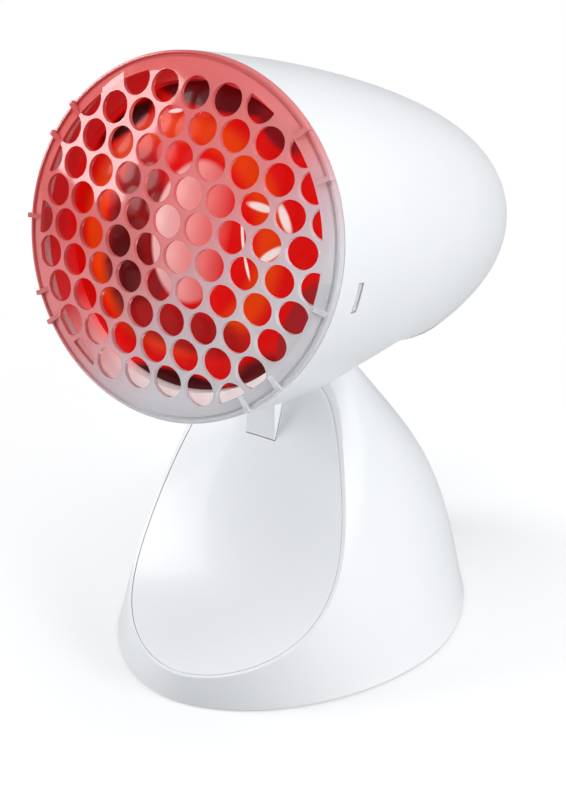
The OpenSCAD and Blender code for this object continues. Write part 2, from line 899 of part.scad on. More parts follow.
module strap_screws() {
    color("silver") on_lamp() on_head()
        for (x = [-strap_x, strap_x]) {
            translate([x, 0, -strap_s - 11])
                cylinder(r = screw_r, h = 11.2);
            translate([x, 0, -strap_s])
                cylinder(r = 2 * screw_r, h = 1.6);
        }
}

base_shell();
front_panel();
base_plate();
rubber_pads();
base_screws();
hinge_bolt();
hinge_nut();
friction_washers();
spring_washer();
detent_spring();
terminal_block();
cable_inlet();
cable_clamp();
switch_housing();
switch_rocker();
head_shell();
guard_grille();
inner_collar();
neck_bracket();
neck_screws();
bulb_lens();
bulb_reflector();
bulb_cap();
bulb_contact();
filament();
filament_stem();
lamp_holder();
holder_sleeve();
holder_contact();
holder_strap();
strap_screws();
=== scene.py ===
import json
import math

import bmesh
import bpy
from mathutils import Matrix, Vector


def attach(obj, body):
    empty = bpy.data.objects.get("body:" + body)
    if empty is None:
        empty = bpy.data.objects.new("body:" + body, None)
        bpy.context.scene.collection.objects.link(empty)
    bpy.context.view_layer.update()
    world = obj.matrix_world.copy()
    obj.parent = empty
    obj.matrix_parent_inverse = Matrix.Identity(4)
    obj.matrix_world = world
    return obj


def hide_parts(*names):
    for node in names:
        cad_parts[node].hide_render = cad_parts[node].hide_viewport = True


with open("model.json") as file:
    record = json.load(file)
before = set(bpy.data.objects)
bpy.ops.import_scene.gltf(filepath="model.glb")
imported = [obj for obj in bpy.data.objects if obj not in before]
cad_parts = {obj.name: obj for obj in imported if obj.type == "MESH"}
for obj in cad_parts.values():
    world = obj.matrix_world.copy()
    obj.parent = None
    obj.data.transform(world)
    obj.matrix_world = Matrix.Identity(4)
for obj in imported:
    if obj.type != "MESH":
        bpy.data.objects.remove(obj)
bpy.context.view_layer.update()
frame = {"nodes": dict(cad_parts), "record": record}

nodes = frame["nodes"]
scene = bpy.context.scene

# ---- sizes of the lamp, in millimetres, as in the CAD source ----

MM = 0.001
TILT = math.radians(16.3)                                # how far the head looks up at rest
PIVOT_Z = 124.0
SHIFT_Y = -19.843                                        # puts the box's centre on the origin
FACE = Vector((0, -81 + SHIFT_Y, 207))                   # centre of the rim's plane
ALONG = Vector((0, math.cos(TILT), -math.sin(TILT)))     # from the rim to the tail
UP = Vector((0, math.sin(TILT), math.cos(TILT)))         # square to the head's centre line

HEAD_R, HEAD_LEN, HEAD_WALL = 72.4, 230.0, 2.4
HEAD_BULGE, HEAD_ROUND = 1.5, 2.75                       # powers of the head's side curve
SHELL_FRONT = 2.9
SADDLE_H, SADDLE_FRONT, SADDLE_BACK = 20.7, 50, 47
NECK_SLOT_LONG, NECK_SLOT_HALF, FLANGE_TOP = 12.3, 7.5, 26.4
VENTS, VENT_PITCH, VENT_HALF = 7, 6.24, 1.2

FIELD_R = 66.0
DOME_RISE, DOME_EDGE = 12.0, 3.0
DOME_R = (FIELD_R ** 2 + (DOME_RISE - DOME_EDGE) ** 2) / (2 * (DOME_RISE - DOME_EDGE))
GRILLE_T, RIM_DEPTH = 2.2, 2.6
HOLE_PITCH, HOLE_R, HOLE_ROW = 14.4, 6.45, -5.2
RIB_HALF = 0.9
RIB_ANGLES = (47, 30.5, -11, -40, -53.5, 145, 157, 185, 210, 220)
TONGUE_SPINS = (math.radians(-7), math.radians(7) + math.pi)
TONGUE_AT = 19                                           # middle of the tongues, behind the rim

BULB_R, LENS_CROWN, LENS_DISH, LENS_T = 60.5, 3.0, 9.0, 2.6

# The bell's outlines: reach at the floor, height over the hinge at which it ends, two powers
BELL_SIDE = (74.0, 11, 0.75, 0.35)
BELL_FRONT = (93.5, 49.75, 2.4, 2.8)
BELL_REAR = (90.0, 50.5, 2.5, 2.9)
BELL_WALL, RIM_LIFT, PLAN = 2.6, 0.8, 1.85               # PLAN is the power of its plan
BELL_SIDES = 216
KNUCKLE_R, KNUCKLE_HALF = 18.0, 28.0

PANEL_T, PANEL_LIP, PANEL_GAP = 2.4, 1.2, 0.3
PANEL_LOW, PANEL_TOP, PANEL_CUT_TOP = 5, 121.0, 147
PANEL_AT, PANEL_SLOPE = 60.9, 0.36                       # the leaning part of its side line
PANEL_FLARE, FLARE_FADE = 75.7, 19                       # the curve forwards at its foot

HEAD_TURNS = (-15, 15)                                   # the head's tilt limits, in degrees
NECK_ROOM_R, NECK_ROOM_BACK, NECK_ROOM_HALF = 38.35, 16.5, 7.45
SEAT_R, SEAT_HALF = 38.6, 7.7
AXLE_BORE_R, BOSS_R, BOSS_HALF = 3.06, 8, 13
SCREW_SPOTS = [(x, y) for x in (-34, 34) for y in (-46, 44)]
SCREW_BORE_R, PILLAR_R = 1.55, 4
INLET_Z, INLET_R = 18, 5.7
SWITCH_Z, SWITCH_HALF = 46, (7.8, 11.3)
SWITCH_FLANGE, SWITCH_RECESS = 2, 0.9                    # width and depth of the recess round it

HEAD_FRAME = Matrix((
    (MM, 0, 0, 0),
    (0, MM * UP.y, -MM * ALONG.y, MM * FACE.y),
    (0, MM * UP.z, -MM * ALONG.z, MM * FACE.z),
    (0, 0, 0, 1),
))  # from the head's own frame (front along +Z, millimetres) to the lamp's

HINGE_FRAME = Matrix((
    (0, 0, MM, 0),
    (MM, 0, 0, SHIFT_Y * MM),
    (0, MM, 0, PIVOT_Z * MM),
    (0, 0, 0, 1),
))  # from a frame whose +Z runs along the hinge bolt to the lamp's


# ---- making meshes ----

def piece(name, verts, faces, place=None):
    """A mesh object at the origin, from points in millimetres of the lamp's frame or of place."""
    mesh = bpy.data.meshes.new(name)
    mesh.from_pydata([tuple(v) for v in verts], [], faces)
    mesh.transform(place or Matrix.Scale(MM, 4))
    mesh.update()
    obj = bpy.data.objects.new(name, mesh)
    scene.collection.objects.link(obj)
    return obj


def mend(obj, merge=False):
    """Turns all faces outwards, after merging doubles where that is asked."""
    bm = bmesh.new()
    bm.from_mesh(obj.data)
    if merge:
        bmesh.ops.remove_doubles(bm, verts=bm.verts, dist=2e-6)
        bmesh.ops.dissolve_degenerate(bm, edges=bm.edges, dist=2e-6)
    bmesh.ops.recalc_face_normals(bm, faces=bm.faces)
    bm.to_mesh(obj.data)
    bm.free()
    return obj


def bake(obj):
    """Turns an object's modifiers into its mesh."""
    bpy.context.view_layer.update()
    evaluated = obj.evaluated_get(bpy.context.evaluated_depsgraph_get())
    mesh = bpy.data.meshes.new_from_object(evaluated)
    obj.modifiers.clear()
    old = obj.data
    obj.data = mesh
    mesh.name = obj.name
    if old.users == 0:
        bpy.data.meshes.remove(old)


def cut(obj, tool, how="DIFFERENCE"):
    """Boolean of obj with tool, which is removed after."""
    mod = obj.modifiers.new("cut", "BOOLEAN")
    mod.operation = how
    mod.solver = "MANIFOLD"
    mod.object = tool
    bake(obj)
    bpy.data.objects.remove(tool)


def finish(obj, angle):
    """Merges doubles and shades smooth, apart from edges sharper than angle."""
    mend(obj, True)
    obj.data.shade_smooth()
    obj.data.set_sharp_from_angle(angle=math.radians(angle))


def revolve(name, outline, sides=144, place=HEAD_FRAME):
    """Solid of revolution from (radius, height) points; points with no radius become poles."""
    verts, rows = [], []
    for r, z in outline:
        if r < 1e-6:
            rows.append([len(verts)] * sides)
            verts.append((0, 0, z))
        else:
            rows.append(list(range(len(verts), len(verts) + sides)))
            for i in range(sides):
                a = 2 * math.pi * i / sides
                verts.append((r * math.cos(a), r * math.sin(a), z))
    faces = []
    for a, b in zip(rows, rows[1:]):
        for i in range(sides):
            j = (i + 1) % sides
            ring = list(dict.fromkeys((a[i], a[j], b[j], b[i])))
            if len(ring) > 2:
                faces.append(ring)
    return mend(piece(name, verts, faces, place))


def loft(name, rings, place=None):
    """Closed solid through rings with equal numbers of points."""
    n = len(rings[0])
    last = (len(rings) - 1) * n
    faces = [list(range(n))[::-1]]
    for start in range(0, last, n):
        for i in range(n):
            j = (i + 1) % n
            faces.append((start + i, start + j, start + n + j, start + n + i))
    faces.append([last + i for i in range(n)])
    return mend(piece(name, [p for ring in rings for p in ring], faces, place))


def turned(outline, angle):
    c, s = math.cos(angle), math.sin(angle)
    return [(a * c - b * s, a * s + b * c) for a, b in outline]


def across(name, outline, half):
    """A side view about the hinge (forwards is -X, up is +Y), drawn out across the lamp."""
    return loft(name, [[(x, a + SHIFT_Y, b + PIVOT_Z) for a, b in outline] for x in (-half, half)])


def block(name, x, h, s, place=HEAD_FRAME, spin=0.0):
    """A box between pairs of limits (s counts inwards), turned about its frame's Z."""
    ring = turned([(x[0], h[0]), (x[1], h[0]), (x[1], h[1]), (x[0], h[1])], spin)
    return loft(name, [[(a, b, -k) for a, b in ring] for k in (s[1], s[0])], place)


# ---- procedural materials ----

def shader(name):
    mat = bpy.data.materials.new(name)
    mat.use_nodes = True
    tree = mat.node_tree
    return mat, tree, tree.nodes["Principled BSDF"]


def link(tree, a, b):
    tree.links.new(a, b)


def put(node, **values):
    """Sets unlinked inputs, given by their names with _ for spaces."""
    for name, value in values.items():
        node.inputs[name.replace("_", " ")].default_value = value


def math_node(tree, how, a, b=None):
    """A sum of sockets or numbers, whose result is returned."""
    node = tree.nodes.new("ShaderNodeMath")
    node.operation = how
    for k, v in enumerate((a, b)):
        if hasattr(v, "is_linked"):
            link(tree, v, node.inputs[k])
        elif v is not None:
            node.inputs[k].default_value = v
    return node.outputs[0]


def weighed(tree, a, share_a, b, share_b):
    """a and b, each multiplied by its share and then added."""
    return math_node(tree, "ADD", math_node(tree, "MULTIPLY", a, share_a),
                     math_node(tree, "MULTIPLY", b, share_b))


def length_of(tree, a, b):
    squares = math_node(tree, "ADD", math_node(tree, "MULTIPLY", a, a),
                        math_node(tree, "MULTIPLY", b, b))
    return math_node(tree, "SQRT", squares)


def span(tree, value, start, end, low, high, smooth=False):
    """value between start and end, moved to between low and high."""
    node = tree.nodes.new("ShaderNodeMapRange")
    if smooth:
        node.interpolation_type = "SMOOTHSTEP"
    link(tree, value, node.inputs["Value"])
    put(node, From_Min=start, From_Max=end, To_Min=low, To_Max=high)
    return node.outputs["Result"]


def noise(tree, scale, detail=2.0, stretch=(1, 1, 1)):
    coord = tree.nodes.new("ShaderNodeTexCoord")
    place = tree.nodes.new("ShaderNodeMapping")
    put(place, Scale=stretch)
    link(tree, coord.outputs["Object"], place.inputs["Vector"])
    node = tree.nodes.new("ShaderNodeTexNoise")
    put(node, Scale=scale, Detail=detail)
    link(tree, place.outputs["Vector"], node.inputs["Vector"])
    return node.outputs["Fac"]


def grain(tree, bsdf, scale, strength, rough, distance=0.0002):
    """Fine bump of moulded plastic, glass or rubber, with roughness that follows it."""
    field = noise(tree, scale, 3.0)
    bump = tree.nodes.new("ShaderNodeBump")
    put(bump, Strength=strength, Distance=distance)
    link(tree, field, bump.inputs["Height"])
    link(tree, bump.outputs["Normal"], bsdf.inputs["Normal"])
    link(tree, span(tree, field, 0, 1, *rough), bsdf.inputs["Roughness"])


def colour_ramp(tree, value, stops):
    ramp = tree.nodes.new("ShaderNodeValToRGB")
    link(tree, value, ramp.inputs["Fac"])
    points = ramp.color_ramp.elements
    for k, (place, colour) in enumerate(stops):
        point = points[k] if k < 2 else points.new(place)
        point.position = place
        point.color = (*colour, 1)
    return ramp.outputs["Color"]


def two_tone(tree, bsdf, light, dark, scale):
    """A slow drift between two close colours."""
    colour = colour_ramp(tree, noise(tree, scale), ((0.35, dark), (0.65, light)))
    link(tree, colour, bsdf.inputs["Base Color"])


def plastic(name, light, dark, rough=(0.22, 0.32), coat=0.0, grain_scale=900, strength=0.05):
    mat, tree, bsdf = shader(name)
    two_tone(tree, bsdf, light, dark, 14)
    grain(tree, bsdf, grain_scale, strength, rough)
    put(bsdf, Coat_Weight=coat, Coat_Roughness=0.08)
    return mat


def metal(name, light, dark, rough=(0.2, 0.38), stretch=(60, 60, 900)):
    mat, tree, bsdf = shader(name)
    two_tone(tree, bsdf, light, dark, 40)
    put(bsdf, Metallic=1.0)
    brushed = noise(tree, 6, stretch=stretch)
    link(tree, span(tree, brushed, 0, 1, *rough), bsdf.inputs["Roughness"])
    return mat


def face_axes(tree):
    """Millimetres across and over the head's centre line, from Object coordinates."""
    coord = tree.nodes.new("ShaderNodeTexCoord")
    axes = []
    for axis in (Vector((1, 0, 0)), UP):
        dot = tree.nodes.new("ShaderNodeVectorMath")
        dot.operation = "DOT_PRODUCT"
        link(tree, coord.outputs["Object"], dot.inputs[0])
        dot.inputs[1].default_value = tuple(axis / MM)
        axes.append(math_node(tree, "SUBTRACT", dot.outputs["Value"], axis.dot(FACE)))
    return axes


def from_centre(tree, axes, centre):
    return [math_node(tree, "SUBTRACT", axis, c) for axis, c in zip(axes, centre)]


def patch(tree, axes, centre, half, lean, edge):
    """1 inside a leaning ellipse on the bulb's face and 0 outside, with a soft edge."""
    c, s = math.cos(math.radians(lean)), math.sin(math.radians(lean))
    dx, dh = from_centre(tree, axes, centre)
    u = weighed(tree, dx, c / half[0], dh, s / half[0])
    v = weighed(tree, dx, -s / half[1], dh, c / half[1])
    return span(tree, length_of(tree, u, v), 1 - edge, 1 + edge, 1, 0, True)


def ring_patch(tree, axes, centre, radius, half, edge):
    """1 along a ring on the bulb's face and 0 away from it."""
    r = length_of(tree, *from_centre(tree, axes, centre))
    off = math_node(tree, "ABSOLUTE", math_node(tree, "SUBTRACT", r, radius))
    return span(tree, off, half - edge, half + edge, 1, 0, True)


def blend_colour(tree, factor, below, colour):
    """colour over below, which is a socket or a plain colour."""
    mix = tree.nodes.new("ShaderNodeMix")
    mix.data_type = "RGBA"
    link(tree, factor, mix.inputs["Factor"])
    if hasattr(below, "is_linked"):
        link(tree, below, mix.inputs["A"])
    else:
        mix.inputs["A"].default_value = (*below, 1)
    mix.inputs["B"].default_value = (*colour, 1)
    return mix.outputs["Result"]


# The line from the guard's upper left to its lower right, along which painted glow and painted
# reflection fade, and its length in millimetres
RAMP_LINE, RAMP_REACH = (0.73, -0.68), 140


def ramp_across(tree, stops):
    """Colours at millimetres along RAMP_LINE, counted from the face's centre."""
    x, h = face_axes(tree)
    along = weighed(tree, x, RAMP_LINE[0], h, RAMP_LINE[1])
    along = math_node(tree, "ADD", math_node(tree, "MULTIPLY", along, 1 / RAMP_REACH), 0.5)
    return colour_ramp(tree, along, [(at / RAMP_REACH + 0.5, colour) for at, colour in stops])


def clear_guard_plastic():
    """Clear plastic with painted light: a painted salmon reflection of the red bulb on the upper
    left, fading to a painted cool white at the lower right.
    """
    mat, tree, bsdf = shader("clear_guard_plastic")
    # painted light: salmon and pink stand in for the red bulb seen in the clear plastic, cool white
    # for its lit lower right
    colour = ramp_across(tree, (
        (-66, (0.90, 0.17, 0.165)), (-30, (0.92, 0.25, 0.25)), (6, (0.94, 0.36, 0.36)),
        (24, (0.86, 0.66, 0.70)), (44, (0.88, 0.88, 0.91))))
    link(tree, colour, bsdf.inputs["Base Color"])
    put(bsdf, Transmission_Weight=0.35, IOR=1.49)
    grain(tree, bsdf, 260, 0.04, (0.04, 0.1))
    return mat


def glowing_collar():
    """White satin collar with a painted red glow of the bulb on its upper left, fading to white at
    its lower right.
    """
    mat, tree, bsdf = shader("glowing_collar")
    colour = ramp_across(tree, (
        (-40, (0.60, 0.012, 0.014)), (-14, (0.70, 0.03, 0.035)),
        (6, (0.88, 0.42, 0.42)), (30, (0.88, 0.80, 0.80))))
    link(tree, colour, bsdf.inputs["Base Color"])
    # The painted colour is also its emission, so the collar glows though it is no lamp.
    link(tree, colour, bsdf.inputs["Emission Color"])
    put(bsdf, Emission_Strength=0.35)
    grain(tree, bsdf, 500, 0.05, (0.3, 0.42))
    return mat


BULB_RED, BULB_ORANGE = (0.74, 0.004, 0.003), (0.82, 0.052, 0.002)
# The pale colour is a painted reflection, and the white is the colour of painted highlights.
BULB_PAINTED_PALE_REFLECTION, PAINTED_HIGHLIGHT_WHITE = (0.96, 0.60, 0.58), (1.0, 0.93, 0.88)

# Painted reflections: dark and bright bands that stand in for what the mirrored reflector shows
# through the red glass:
# centre and half sizes in millimetres, lean in degrees, softness, colour
BULB_PAINTED_REFLECTIONS = (
    ((-22, -8), (16, 36), 8, 0.25, (0.27, 0.004, 0.005)),
    ((-29, -16), (10, 18), 10, 0.5, (0.10, 0.002, 0.003)),
    ((5, -36), (27, 9), 0, 0.3, (0.40, 0.006, 0.006)),
    ((0, 61), (40, 11), 0, 0.12, (0.12, 0.002, 0.004)),
    ((4, -62), (34, 8), 0, 0.15, (0.05, 0.001, 0.002)),
    ((-40, 38), (17, 4), 44, 0.35, (0.02, 0.0, 0.0)),
    ((30, 48), (12, 5), -34, 0.3, (0.22, 0.008, 0.012)),
    ((38, -50), (16, 9), 40, 0.3, (0.10, 0.003, 0.004)),
    ((52, -22), (5, 18), -20, 0.2, (0.36, 0.016, 0.02)),
)

# Painted highlights, white glints that stand in for reflexes of the lamp's own mirror: centre, half
# sizes, lean
BULB_PAINTED_HIGHLIGHTS = (
    ((30, 18.4), (5.2, 1.5), -4), ((40.4, 16), (6, 1.7), -58), ((37.6, 1.4), (5.5, 1.6), 42),
    ((24.8, 6), (0.6, 6), 14), ((28.6, -5.5), (0.6, 4.5), 22), ((-17, 46.6), (3.2, 0.8), 16),
)


def red_bulb_glass():
    """Red pressed glass with painted reflections: an orange ring, the bright and dark bands of the
    mirror behind it, a pale patch and white glints are painted into its colour.
    """
    mat, tree, bsdf = shader("red_bulb_glass")
    axes = face_axes(tree)
    ring = ring_patch(tree, axes, (-5, 0), 42, 5, 3.5)
    colour = blend_colour(tree, ring, BULB_RED, BULB_ORANGE)
    for centre, half, lean, edge, tint in BULB_PAINTED_REFLECTIONS:
        colour = blend_colour(tree, patch(tree, axes, centre, half, lean, edge), colour, tint)
    # A painted pale reflection over the middle, fading towards the right
    fade = span(tree, axes[0], -15, 20, 1, 0)
    pale = math_node(tree, "MULTIPLY", patch(tree, axes, (3, 3), (19, 28), -3, 0.05), fade)
    colour = blend_colour(tree, pale, colour, BULB_PAINTED_PALE_REFLECTION)
    # Painted white highlights
    for centre, half, lean in BULB_PAINTED_HIGHLIGHTS:
        spot = patch(tree, axes, centre, half, lean, 0.35)
        colour = blend_colour(tree, spot, colour, PAINTED_HIGHLIGHT_WHITE)
    link(tree, colour, bsdf.inputs["Base Color"])
    # The painted colour, its painted reflections and highlights included, is also given as emission.
    link(tree, colour, bsdf.inputs["Emission Color"])
    put(bsdf, Emission_Strength=0.3, Specular_IOR_Level=0.12, Coat_Weight=0.1, Coat_Roughness=0.03)
    grain(tree, bsdf, 120, 0.03, (0.16, 0.26), 0.0003)
    return mat


white_gloss = plastic("white_gloss_shell", (0.86, 0.87, 0.885), (0.84, 0.852, 0.87), (0.36, 0.46),
                      coat=0.12)
white_satin = plastic("white_satin_inner", (0.8, 0.8, 0.8), (0.76, 0.76, 0.77), (0.4, 0.5))
grey_satin = plastic("grey_satin_plastic", (0.60, 0.63, 0.66), (0.55, 0.58, 0.61), (0.38, 0.5))
black_satin = plastic("black_satin_plastic", (0.03, 0.03, 0.032), (0.02, 0.02, 0.022), (0.35, 0.5),
                      grain_scale=700, strength=0.12)
rubber = plastic("black_rubber", (0.035, 0.035, 0.035), (0.02, 0.02, 0.02), (0.65, 0.8),
                 grain_scale=400, strength=0.25)
steel = metal("brushed_steel", (0.62, 0.62, 0.64), (0.5, 0.5, 0.52))
brass = metal("brass", (0.75, 0.56, 0.26), (0.62, 0.45, 0.2))
tungsten = metal("tungsten_wire", (0.35, 0.33, 0.3), (0.25, 0.24, 0.22))
guard_painted_reflection = clear_guard_plastic()
bulb_red = red_bulb_glass()
collar_painted_glow = glowing_collar()
stem_glass = plastic("stem_glass", (0.8, 0.85, 0.85), (0.75, 0.8, 0.8), (0.1, 0.2))
holder_ceramic = plastic("holder_ceramic", (0.78, 0.75, 0.68), (0.72, 0.69, 0.62), (0.3, 0.42))

SLOT_FINISH = {
    "white_shell": white_gloss, "white_inner": white_satin, "grey_plastic": grey_satin,
    "black_plastic": black_satin, "black_rubber": rubber, "steel": steel, "brass": brass,
    "clear_grille": guard_painted_reflection, "red_glass": bulb_red, "mirrored_glass": bulb_red,
    "stem_glass": stem_glass, "filament_wire": tungsten, "holder_body": holder_ceramic,
}
NODE_FINISH = {"inner_collar": collar_painted_glow, "neck_bracket": white_gloss}


def colour_mesh(mesh, finish_material):
    mesh.materials.clear()
    mesh.materials.append(finish_material)


for part in frame["record"]["subparts"]:
    for name in ([part["node"]] if "node" in part else part.get("nodes", [])):
        if name in nodes:
            colour_mesh(nodes[name].data, NODE_FINISH.get(name, SLOT_FINISH[part["material_slot"]]))


def dress(obj, finish_material, slot, body, *replaced):
    """Gives a finished piece its material and body, and hides the nodes it replaces. Its slot is not
    used.
    """
    colour_mesh(obj.data, finish_material)
    for poly in obj.data.polygons:
        poly.material_index = 0
    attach(obj, body)
    if replaced:
        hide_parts(*replaced)


# ---- the head ----

def head_profile(s, inner=False):
    """The head's radius at s behind the rim."""
    wall = HEAD_WALL if inner else 0
    along = s / (HEAD_LEN - wall)
    return (HEAD_R - wall) * max(0.0, 1 - along ** HEAD_BULGE) ** (1 / HEAD_ROUND)


def head_solid(name, inner=False):
    length = HEAD_LEN - HEAD_WALL if inner else HEAD_LEN
    start = -6 if inner else SHELL_FRONT
    outline = [(0, -start)]
    if inner:
        outline.append((head_profile(0, True), -start))
    steps = 96
    for i in range(steps + 1):
        s = SHELL_FRONT + (length - SHELL_FRONT) * math.sin(math.pi / 2 * i / steps)
        outline.append((head_profile(s, inner), -s))
    return revolve(name, outline)


def saddle(name, more):
    """The hollow under the head that clears the base, made larger by more."""
    top, front, back = SADDLE_H + more, SADDLE_FRONT + more, SADDLE_BACK + more
    outline = [(-front, -90), (-front, 0), (0.5 * more - 0.78 * front, 0.6 * top),
               (-0.28 * front, top), (back, top), (back + 8, 0.1 * top), (back + 8, -90)]
    return across(name, turned(outline, -TILT), 90)


def make_head_shell():
    shell = head_solid("head_shell_smooth")
    cut(shell, saddle("cut", 0))
    hollow = head_solid("hollow", True)
    cut(hollow, saddle("cut", HEAD_WALL))
    cut(shell, hollow)
    long, top = NECK_SLOT_LONG, FLANGE_TOP + 4
    slot = turned([(-long, 0), (long, 0), (long, top), (-long, top)], -TILT)
    cut(shell, across("cut", slot, NECK_SLOT_HALF))
    for spin in TONGUE_SPINS:
        window = (TONGUE_AT - 2.2, TONGUE_AT + 2.2)
        cut(shell, block("cut", (HEAD_R - 8, HEAD_R + 8), (-6.2, 6.2), window, spin=spin))
    for i in range(VENTS):
        row = i - VENTS // 2
        half, at = 20 - 3 * abs(row), row * VENT_PITCH
        vent = (at - VENT_HALF, at + VENT_HALF)
        cut(shell, block("cut", (-half, half), vent, (HEAD_LEN - 27, HEAD_LEN + 5)))
    finish(shell, 34)
    dress(shell, white_gloss, "white_shell", "head", "head_shell")


def dome_z(r, under=0.0):
    """Height of the guard's dome over the rim's plane, or of a face that far under it."""
    return DOME_RISE - DOME_R + math.sqrt((DOME_R - under) ** 2 - r * r)


def make_guard_blank():
    steps = 40
    radii = [FIELD_R * i / steps for i in range(steps + 1)]
    top = [(r, dome_z(r)) for r in radii]
    under = [(r, dome_z(r, GRILLE_T)) for r in reversed(radii)]
    groove = [(2.6, 1.0), (2.4, 0.45), (2.2, 0.2), (1.4, 0.2), (1.25, 0.7), (1.0, 0.95), (0.5, 0.95),
              (0.15, 0.75), (0, 0.4), (0, 0.2 - RIM_DEPTH), (0.2, -RIM_DEPTH), (3.4, -RIM_DEPTH),
              (3.4, dome_z(HEAD_R - 3.4, GRILLE_T))]         # depth inside the rim's edge, height
    rim = [(HEAD_R - inwards, z) for inwards, z in groove]
    return revolve("guard_blank", top + rim + under, 192)


def perforate_tree():
    """Cuts staggered rows of round holes, limited to a round field, square through a guard blank."""
    tree = bpy.data.node_groups.new("guard_perforations", "GeometryNodeTree")
    face = tree.interface
    face.new_socket("Geometry", in_out="INPUT", socket_type="NodeSocketGeometry")
    for name, value in (("Pitch", HOLE_PITCH), ("Hole Radius", HOLE_R), ("Row Offset", HOLE_ROW),
                        ("Field Radius", FIELD_R)):
        face.new_socket(name, in_out="INPUT", socket_type="NodeSocketFloat").default_value = value
    face.new_socket("Finish", in_out="INPUT", socket_type="NodeSocketMaterial")
    face.new_socket("Place", in_out="INPUT", socket_type="NodeSocketObject")
    face.new_socket("Geometry", in_out="OUTPUT", socket_type="NodeSocketGeometry")
    new, join = tree.nodes.new, tree.links.new
    given, result = new("NodeGroupInput"), new("NodeGroupOutput")

    def calc(how, a, b=None):
        return math_node(tree, how, a, b)

    def cylinder(radius, sides, depth):
        node = new("GeometryNodeMeshCylinder")
        put(node, Vertices=sides, Depth=depth)
        join(given.outputs[radius], node.inputs["Radius"])
        return node.outputs["Mesh"]

    def realized(source):
        node = new("GeometryNodeRealizeInstances")
        join(source, node.inputs[0])
        return node.outputs[0]

    # A grid's index gives each hole its column and row, counted from the middle
    columns, rows, middle_column, middle_row = 13, 10, 6, 4
    grid = new("GeometryNodeMeshGrid")
    put(grid, Vertices_X=columns, Vertices_Y=rows)
    index = new("GeometryNodeInputIndex").outputs[0]
    column = calc("FLOOR", calc("DIVIDE", calc("ADD", index, 0.5), rows))
    row = calc("SUBTRACT", calc("SUBTRACT", index, calc("MULTIPLY", column, rows)), middle_row)
    odd = calc("MODULO", calc("ADD", row, 2 * middle_row), 2)
    stagger = calc("SUBTRACT", calc("MULTIPLY", odd, 0.5), 0.5)
    pitch = given.outputs["Pitch"]
    x = calc("MULTIPLY", pitch, calc("SUBTRACT", calc("SUBTRACT", column, middle_column), stagger))
    row_pitch = calc("MULTIPLY", pitch, math.sqrt(3) / 2)
    y = calc("ADD", calc("MULTIPLY", row_pitch, row), given.outputs["Row Offset"])
    spot = new("ShaderNodeCombineXYZ")
    join(x, spot.inputs[0])
    join(y, spot.inputs[1])
    spot.inputs[2].default_value = 6
    place = new("GeometryNodeSetPosition")
    join(grid.outputs["Mesh"], place.inputs["Geometry"])
    join(spot.outputs[0], place.inputs["Position"])

    # Holes that would leave only a sliver inside the field are dropped
    least = 3
    limit = calc("ADD", given.outputs["Field Radius"], given.outputs["Hole Radius"])
    limit = calc("SUBTRACT", limit, least)
    drop = new("GeometryNodeDeleteGeometry")
    join(place.outputs[0], drop.inputs["Geometry"])
    join(calc("GREATER_THAN", length_of(tree, x, y), limit), drop.inputs["Selection"])
    bores = new("GeometryNodeInstanceOnPoints")
    join(drop.outputs[0], bores.inputs["Points"])
    join(cylinder("Hole Radius", 40, 30), bores.inputs["Instance"])

    inside = new("GeometryNodeMeshBoolean")
    inside.operation = "INTERSECT"
    inside.solver = "MANIFOLD"
    join(realized(bores.outputs[0]), inside.inputs["Mesh 2"])
    join(cylinder("Field Radius", 192, 50), inside.inputs["Mesh 2"])
    where = new("GeometryNodeObjectInfo")
    where.transform_space = "ORIGINAL"
    join(given.outputs["Place"], where.inputs["Object"])
    move = new("GeometryNodeTransform")
    move.mode = "MATRIX"
    join(inside.outputs["Mesh"], move.inputs["Geometry"])
    join(where.outputs["Transform"], move.inputs["Transform"])
    holes = new("GeometryNodeMeshBoolean")
    holes.operation = "DIFFERENCE"
    holes.solver = "MANIFOLD"
    join(given.outputs["Geometry"], holes.inputs["Mesh 1"])
    join(move.outputs[0], holes.inputs["Mesh 2"])
    colour = new("GeometryNodeSetMaterial")
    join(realized(holes.outputs["Mesh"]), colour.inputs["Geometry"])
    join(given.outputs["Finish"], colour.inputs["Material"])
    join(colour.outputs[0], result.inputs["Geometry"])
    return tree


def run_tree(obj, tree, **values):
    """Puts a node tree on obj, sets its named inputs by their identifiers, and bakes it."""
    mod = obj.modifiers.new("nodes", "NODES")
    mod.node_group = tree
    for item in tree.interface.items_tree:
        if item.item_type == "SOCKET" and item.in_out == "INPUT" and item.name in values:
            mod[item.identifier] = values[item.name]
    bake(obj)


